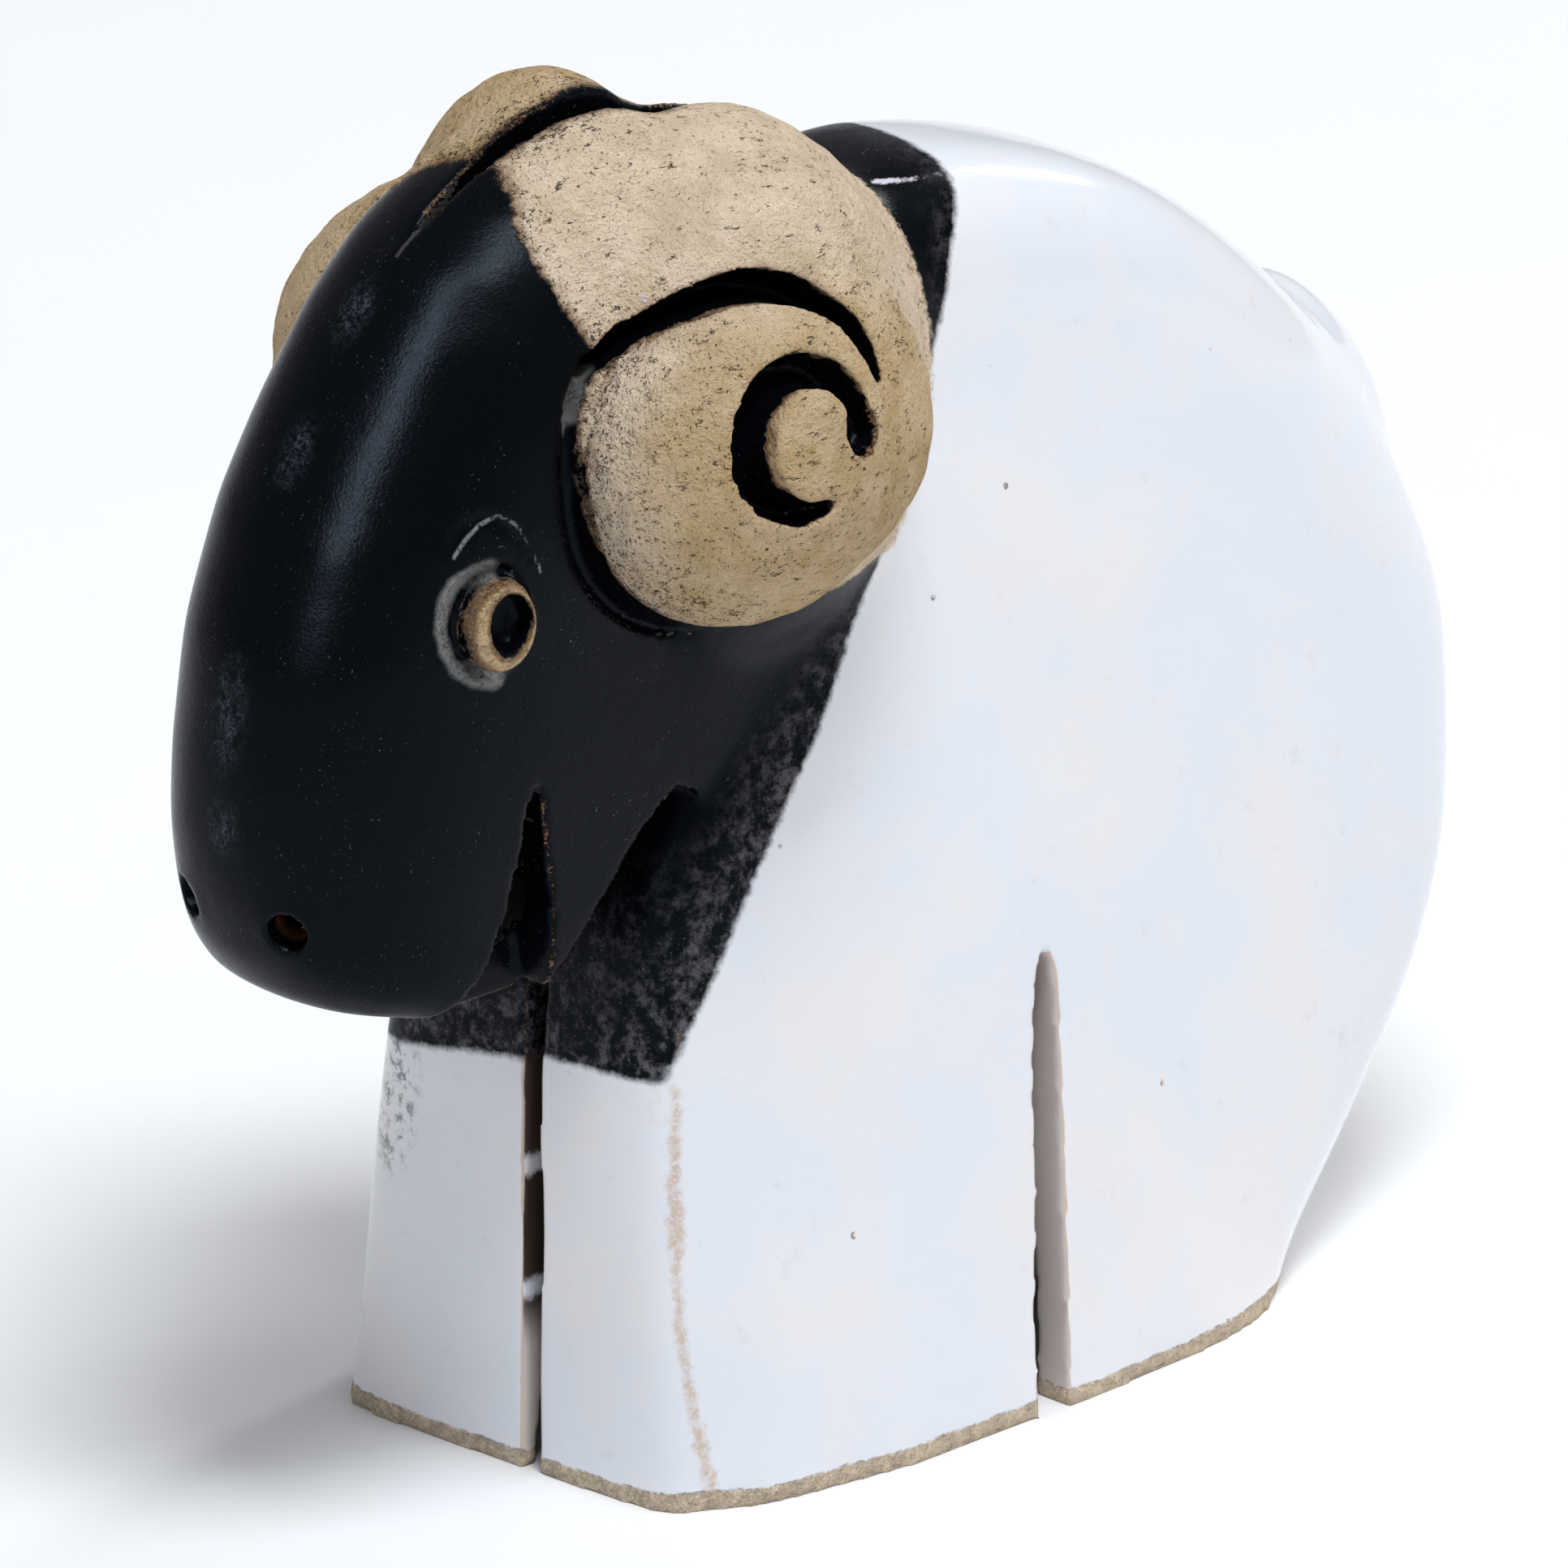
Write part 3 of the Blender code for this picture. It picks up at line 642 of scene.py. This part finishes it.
# Black of the wash in pits and cracks, also painted as shade in the head's inside
BLACK_WASH_AND_SHADE = (0.012, 0.010, 0.009, 1)
FOOT_BUFF = (0.60, 0.49, 0.37, 1)
# Dark brown painted shade on the hidden inside's buff clay
SHADED_RAW_CLAY = (0.17, 0.115, 0.075, 1)
SHADED_RAW_CLAY_DARK = (0.09, 0.06, 0.04, 1)


class Stoneware(Nodes):
    """The outside's material: black and white glaze over buff clay, where the surface's measures say."""

    def __init__(self):
        super().__init__("stoneware")
        self.ahead, self.across, self.height = (self.along(axis) for axis in "XYZ")
        self.deep, self.black, self.clay, self.eye = map(self.measure, ("deep", "black", "clay", "eye"))
        self.proud = self.both(self.measure("hollow"), -1.0)
        self.slow = self.noise(14, 2)
        self.fine = self.noise(1.4, 3, 0.6)
        self.grain = self.noise(0.42, 3, 0.65)
        self.cloud = self.noise(2.2, 7, 0.78)
        self.crumbs = self.noise(0.95, 3, 0.7)
        self.place_finishes()
        glaze = self.mix(self.in_black, self.white_glaze(), self.black_glaze())
        colour = self.mix(self.in_clay, glaze, self.bare_clay())
        foot = self.mix(self.ramp(self.fine, 0.35, 0.7), FOOT_BUFF, BUFF)
        self.set(Base_Color=self.mix(self.in_foot, colour, foot))
        self.make_gloss()
        self.make_relief()

    def frayed(self, value, slow=0.0, fine=0.0, grain=0.0):
        """A value with noise added, so that its edges are uneven."""
        for noise_from, spread in ((self.slow, slow), (self.fine, fine), (self.grain, grain)):
            if spread:
                value = self.total(value, self.around(noise_from, spread))
        return value

    def place_finishes(self):
        """Where the black glaze, the bare clay and the foot rim are, with hidden groove floors left black,
        partly as painted shade.
        """
        self.in_black = self.ramp(self.frayed(self.black, slow=1.6, fine=1.2, grain=0.5), -0.7, 0.6)
        # Groove and eye-hole floors hidden from most directions stay out of the bare clay and take the
        # black: partly the real dark wash, partly painted shade
        dug = self.ramp(self.frayed(self.deep, fine=0.3, grain=0.2), 0.36, 0.48)
        in_horn = self.ramp(self.frayed(self.clay, slow=1.0, fine=1.4, grain=1.2), -0.3, 0.5)
        self.in_eye = self.unless(self.ramp(self.frayed(self.eye, fine=0.8), -0.1, 0.2), dug)
        self.in_clay = self.most(self.unless(in_horn, dug), self.in_eye)
        foot_edge = self.frayed(self.height, slow=1.2, fine=0.9)
        self.in_foot = self.ramp(foot_edge, FOOT_CLAY + 0.2, FOOT_CLAY - 0.2)

    def white_glaze(self):
        """White with warmer patches and a few specks, thin and tan on proud edges, and painted shade on the
        walls of the cuts.
        """
        cut = self.frayed(self.most(self.measure("leg_cut"), self.measure("chest_cut")), fine=0.2)
        self.in_cut = self.ramp(cut, 0.55, 0.75)
        proud = self.ramp(self.frayed(self.proud, fine=0.3, grain=0.3), 0.16, 0.42)
        corner = self.ramp(self.frayed(self.measure("corner"), slow=1.8, fine=2.6), 1.2, -0.2)
        corner = self.both(corner, self.ramp(self.grain, 0.25, 0.55), 0.9)
        self.thin = self.most(self.both(self.most(proud, self.ramp(cut, 0.28, 0.45)), 0.85), corner)
        tone = self.mix(self.ramp(self.noise(32, 4, 0.6), 0.4, 0.62), WHITE_GLAZE, WARM_WHITE)
        stains = self.both(self.ramp(self.noise(4.5, 4, 0.7), 0.60, 0.78), 0.22)
        white = self.mix(self.thin, self.mix(stains, tone, THIN_WHITE), THIN_WHITE)
        white = self.mix(self.specks(), white, SPECK)
        spatter = self.ramp(self.measure("spatter"), 0.0, 0.5)
        spatter = self.both(spatter, self.ramp(self.cloud, 0.49, 0.60), 0.85)
        return self.mix(self.in_cut, self.mix(spatter, white, MOTTLE), self.cut_walls(tone))

    def specks(self):
        cells = self.node("ShaderNodeTexVoronoi", {"Vector": self.place, "Scale": 0.085}, output="Distance")
        return self.both(self.ramp(cells, 0.055, 0.03), self.ramp(self.fine, 0.45, 0.6))

    def cut_walls(self, tone):
        """Painted shade on the walls of the cuts: brown-grey, and dark in the chest's cut but for two
        places where the glaze bridges it.
        """
        # Painted shade, darker up the chest's cut than at its foot
        chest = self.mix(self.ramp(self.height, 15, 23), CUT_SHADE, CHEST_CUT_SHADE)
        for bridge in CHEST_BRIDGES:
            beside = self.frayed(self.away(self.height, bridge), fine=2.2)
            chest = self.mix(self.ramp(beside, 1.8, 0.5), chest, tone)
        return self.mix(self.ramp(self.measure("chest_cut"), 0.1, 0.2), CUT_SHADE, chest)

    def black_glaze(self):
        """Black, mottled near the white, brown on edges, rubbed on the nose, grey in thin lines and pinhole
        specks, partly as painted highlights, and with whitish painted highlight streaks.
        """
        from_edge = self.total(self.frayed(self.black, slow=6.0), self.ramp(self.height, 80, 125, 0, 7))
        self.mottled = self.both(self.ramp(from_edge, 13.0, 1.0), self.ramp(self.cloud, 0.44, 0.68))
        worn = self.both(self.ramp(self.frayed(self.proud, fine=0.3, grain=0.3), 0.2, 0.34), 0.7)
        brown = self.both(self.ramp(self.frayed(self.measure("brown"), fine=1.6), 1.1, 0.6), 0.5)
        edges = self.both(self.most(worn, brown), self.ramp(self.grain, 0.4, 0.6))
        rubbed = self.both(self.measure("scuff"), self.ramp(self.grain, 0.35, 0.75))
        rubbed = self.both(rubbed, self.ramp(self.fine, 0.35, 0.65), 0.8)
        # Pinhole specks in patches, painted grey below partly as glints
        pinholes_and_glints = self.ramp(self.noise(0.4, 1), 0.70, 0.78)
        self.pinholes_and_glints = self.both(pinholes_and_glints, self.ramp(self.noise(9, 2), 0.45, 0.65))
        # Grey on the raised ridges: partly thin grey glaze, partly painted highlight
        grey = self.ramp(self.frayed(self.measure("grey"), fine=0.5), 1.25, 0.5)
        grey = self.both(grey, self.ramp(self.frayed(self.grain, fine=0.5), 0.15, 0.5))
        self.grey = self.both(grey, self.ramp(self.height, 142, 147, 0.8, 0.35))
        # Painted highlight streaks on glossy rims
        highlight_streak = self.ramp(self.frayed(self.measure("highlight_streak"), fine=1.4, grain=1.2), 1.2, 0.5)
        dark = self.mix(self.mottled, BLACK_GLAZE, MOTTLE)
        dark = self.mix(edges, dark, BLACK_EDGE)
        dark = self.mix(rubbed, dark, SCUFFED)
        dark = self.mix(self.most(self.grey, self.both(self.pinholes_and_glints, 0.35)), dark, GREY_GLAZE_AND_HIGHLIGHT)
        dark = self.mix(self.ramp(self.measure("nostril"), 2.2, 3.4), dark, NOSTRIL_BROWN)
        return self.mix(self.both(highlight_streak, 0.85), dark, PAINTED_HIGHLIGHT_STREAK)

    def bare_clay(self):
        """Buff, yellower on the cones and the eyes, burnt at its edges, browned on the grooves' rims partly
        as painted shade, with wash in pits and cracks and painted highlight streaks.
        """
        # Everything on the right side counts as cone here, so the whole right horn takes the cones' darker
        # buff
        beside = self.both(self.ramp(self.across, 0, 1), 30)
        on_cone = self.total(self.frayed(self.calc("ABSOLUTE", self.across), slow=8), beside)
        on_cone = self.ramp(on_cone, 25, 36)
        yellow = self.most(on_cone, self.in_eye)
        light, shady = self.mix(yellow, BUFF, CONE_BUFF), self.mix(yellow, BUFF_DARK, CONE_BUFF_DARK)
        buff = self.mix(self.ramp(self.noise(7, 3, 0.6), 0.35, 0.65), light, shady)
        buff = self.mix(self.burnt_edges_and_groove_shade(), buff, BURNT_AND_GROOVE_SHADE)
        self.wash = self.washed(on_cone)
        buff = self.mix(self.unless(self.both(self.wash, 0.9), self.both(self.in_eye, 0.7)), buff, BLACK_WASH_AND_SHADE)
        # Painted highlight streaks where they cross the clay
        highlight_streak = self.both(self.ramp(self.measure("highlight_streak"), 1.1, 0.5), self.ramp(self.fine, 0.4, 0.6))
        return self.mix(highlight_streak, buff, PAINTED_HIGHLIGHT_STREAK)

    def burnt_edges_and_groove_shade(self):
        """The brown edges of the horns to the front and of the eye's pellet, and the grooves' rims, browned
        as they get hidden: partly burnt clay, partly painted shade.
        """
        horn = self.ramp(self.frayed(self.clay, fine=2.4, grain=1.5), 1.8, -0.2)
        horn = self.unless(self.both(horn, self.to_front(), 0.8), self.in_eye)
        # The grooves' rims, browned as they get hidden: partly burnt clay, partly painted shade
        groove = self.both(self.ramp(self.frayed(self.deep, fine=0.15), 0.22, 0.36), 0.8)
        eye = self.both(self.ramp(self.frayed(self.eye, fine=0.8), 0.75, 0.1), self.in_eye, 0.85)
        return self.most(horn, groove, eye)

    def to_front(self):
        return self.ramp(self.ahead, -16, -32)

    def washed(self, on_cone):
        """Pits and short cracks, closer together near the clay's edges, in grooves and on the cones."""
        border = self.both(self.ramp(self.frayed(self.clay, slow=5.0), 6.0, 0.0), self.to_front())
        more = self.total(self.around(self.slow, 0.12), self.both(border, 0.07), self.both(self.deep, 0.12))
        more = self.total(more, self.both(on_cone, 0.02), -0.035)
        small = self.ramp(self.total(self.grain, more), 0.62, 0.67)
        large = self.ramp(self.total(self.crumbs, more), 0.66, 0.70)
        streaks = self.noise(1.25, 3, 0.62, stretch=(0.42, 1.3, 1.9), turn=(0.0, 0.35, 0.6))
        patches = self.total(self.noise(1.7, 3, 0.6, stretch=(0.6, 1.1, 1.4)), more)
        cracks = self.both(self.ramp(self.away(streaks, 0.5), 0.030, 0.010), self.ramp(patches, 0.56, 0.60))
        return self.most(small, large, cracks)

    def make_gloss(self):
        """Satin black, clear glaze over the white, and dull clay."""
        self.bare = self.most(self.in_clay, self.in_foot)
        satin = self.total(self.both(self.mottled, 0.2), self.around(self.grain, 0.3))
        gloss = self.total(self.frayed(self.both(self.in_black, satin), fine=0.05), 0.23)
        dull = self.ramp(self.bare, 0, 1)
        glassy = self.unless(1.0, self.in_black, self.bare, self.most(self.thin, self.in_cut))
        self.set(Coat_Weight=glassy, Coat_Roughness=0.06)
        self.set(Roughness=self.total(self.unless(gloss, dull), self.both(dull, 0.9)))
        self.set(Specular_IOR_Level=0.075, Specular_Tint=(0.72, 0.85, 1.0, 1))

    def make_relief(self):
        clay = self.total(self.around(self.grain, 0.6), self.both(self.wash, -0.5))
        clay = self.total(self.frayed(clay, fine=1.0), self.around(self.crumbs, 0.8))
        dark = self.total(self.around(self.grain, 0.055), self.both(self.pinholes_and_glints, -0.05))
        dark = self.total(dark, self.both(self.grey, 0.25))
        waves = self.around(self.noise(5, 2), 0.09)
        glaze = self.total(self.both(dark, self.in_black), waves, 0.16)
        self.bump(self.total(self.unless(glaze, self.bare), self.both(clay, self.bare)))


def raw_clay_in_painted_shade():
    """The material of the hidden inside: buff clay painted dark brown as shade, and painted black as shade
    in the head.
    """
    n = Nodes("raw_clay_in_painted_shade")
    slow, grain = n.noise(12, 3), n.noise(0.8, 3, 0.6)
    clay = n.mix(slow, SHADED_RAW_CLAY, SHADED_RAW_CLAY_DARK)
    # The head's inside is painted black as shade
    n.set(Base_Color=n.mix(n.ramp(n.along("X"), -40, -48), clay, BLACK_WASH_AND_SHADE))
    n.set(Roughness=n.ramp(grain, 0, 1, 0.8, 0.95))
    n.bump(n.around(grain, 0.3))
    return n.material


def make_ram():
    surface = fine_surface()
    outside, inside = Stoneware().material, raw_clay_in_painted_shade()
    for name, chosen in sorted_faces(surface[0], surface[1], surface[3]).items():
        print(name, int(chosen.sum()), "quads")
        obj = piece(name, surface, chosen)
        if name == "inside":
            lighter = obj.modifiers.new("fewer faces", "DECIMATE")
            lighter.ratio = INSIDE_SHARE
            apply_modifiers(obj)
        obj.data.materials.append(inside if name == "inside" else outside)


def make_camera():
    """The long lens that took the photograph."""
    turn, rise = CAMERA_TURN, CAMERA_RISE
    back = Vector((-math.sin(turn) * math.cos(rise), -math.cos(turn) * math.cos(rise), math.sin(rise)))
    right = Vector((math.cos(turn), -math.sin(turn), 0))
    up = back.cross(right)
    across = (PHOTO_SIDE / 2 - FOOT_MIDDLE_AT[0]) / PIXELS_PER_METRE
    above = (FOOT_MIDDLE_AT[1] - PHOTO_SIDE / 2) / PIXELS_PER_METRE
    target = Vector((FOOT_X * MM, 0, 0)) + right * across + up * above
    data = bpy.data.cameras.new("camera")
    data.sensor_width = SENSOR
    data.lens = SENSOR * CAMERA_DISTANCE / (PHOTO_SIDE / PIXELS_PER_METRE)
    data.clip_end = 100
    camera = added("camera", data)
    camera.matrix_world = Matrix.Translation(target + back * CAMERA_DISTANCE) @ (
        Matrix((right, up, back)).transposed().to_4x4()
    )
    bpy.context.scene.camera = camera


def softbox(name, place, size, watts, colour=(1, 1, 1)):
    """An area light that faces the ram's middle."""
    data = bpy.data.lights.new(name, "AREA")
    data.shape = "RECTANGLE"
    data.size, data.size_y = size
    data.energy = watts
    data.color = colour
    light = added(name, data)
    light.location = place
    light.rotation_euler = (Vector(place) - Vector((0, 0, 0.09))).to_track_quat("Z", "Y").to_euler()
    return light


PAPER = (0.92, 0.92, 0.925, 1)
PALE_PAPER = (0.95, 0.95, 0.955, 1)
FLOOR_HALF = 4.0
SKY = (0.93, 0.95, 1.0, 1)
SKY_STRENGTH = 0.37


def make_floor():
    n = Nodes("paper")
    n.set(Base_Color=n.mix(n.noise(100 / 3, 3), PAPER, PALE_PAPER), Roughness=0.9)
    half = FLOOR_HALF
    corners = [(-half, -half, 0), (half, -half, 0), (half, half, 0), (-half, half, 0)]
    mesh = bpy.data.meshes.new("floor")
    mesh.from_pydata(corners, [], [(0, 1, 2, 3)])
    mesh.materials.append(n.material)
    added("floor", mesh)


def make_lights():
    world = bpy.data.worlds.new("studio")
    world.use_nodes = True
    background = world.node_tree.nodes["Background"]
    background.inputs["Color"].default_value = SKY
    background.inputs["Strength"].default_value = SKY_STRENGTH
    bpy.context.scene.world = world
    softbox("top", (-0.33, -0.66, 2.1), (0.8, 0.6), 32, (0.93, 0.96, 1))
    softbox("side", (0.6, -1.2, 2.1), (2.2, 1.8), 11)
    # The strip is seen only as a band in the glaze of the face
    strip = softbox("strip", (-1.3, -0.25, 1.35), (0.18, 1.5), 36, (0.84, 0.91, 1))
    strip.visible_diffuse = False
    softbox("rear", (1.9, 0.2, 1.05), (0.2, 0.5), 8)
    bpy.context.scene.view_settings.view_transform = "Standard"


make_ram()
make_camera()
make_floor()
make_lights()
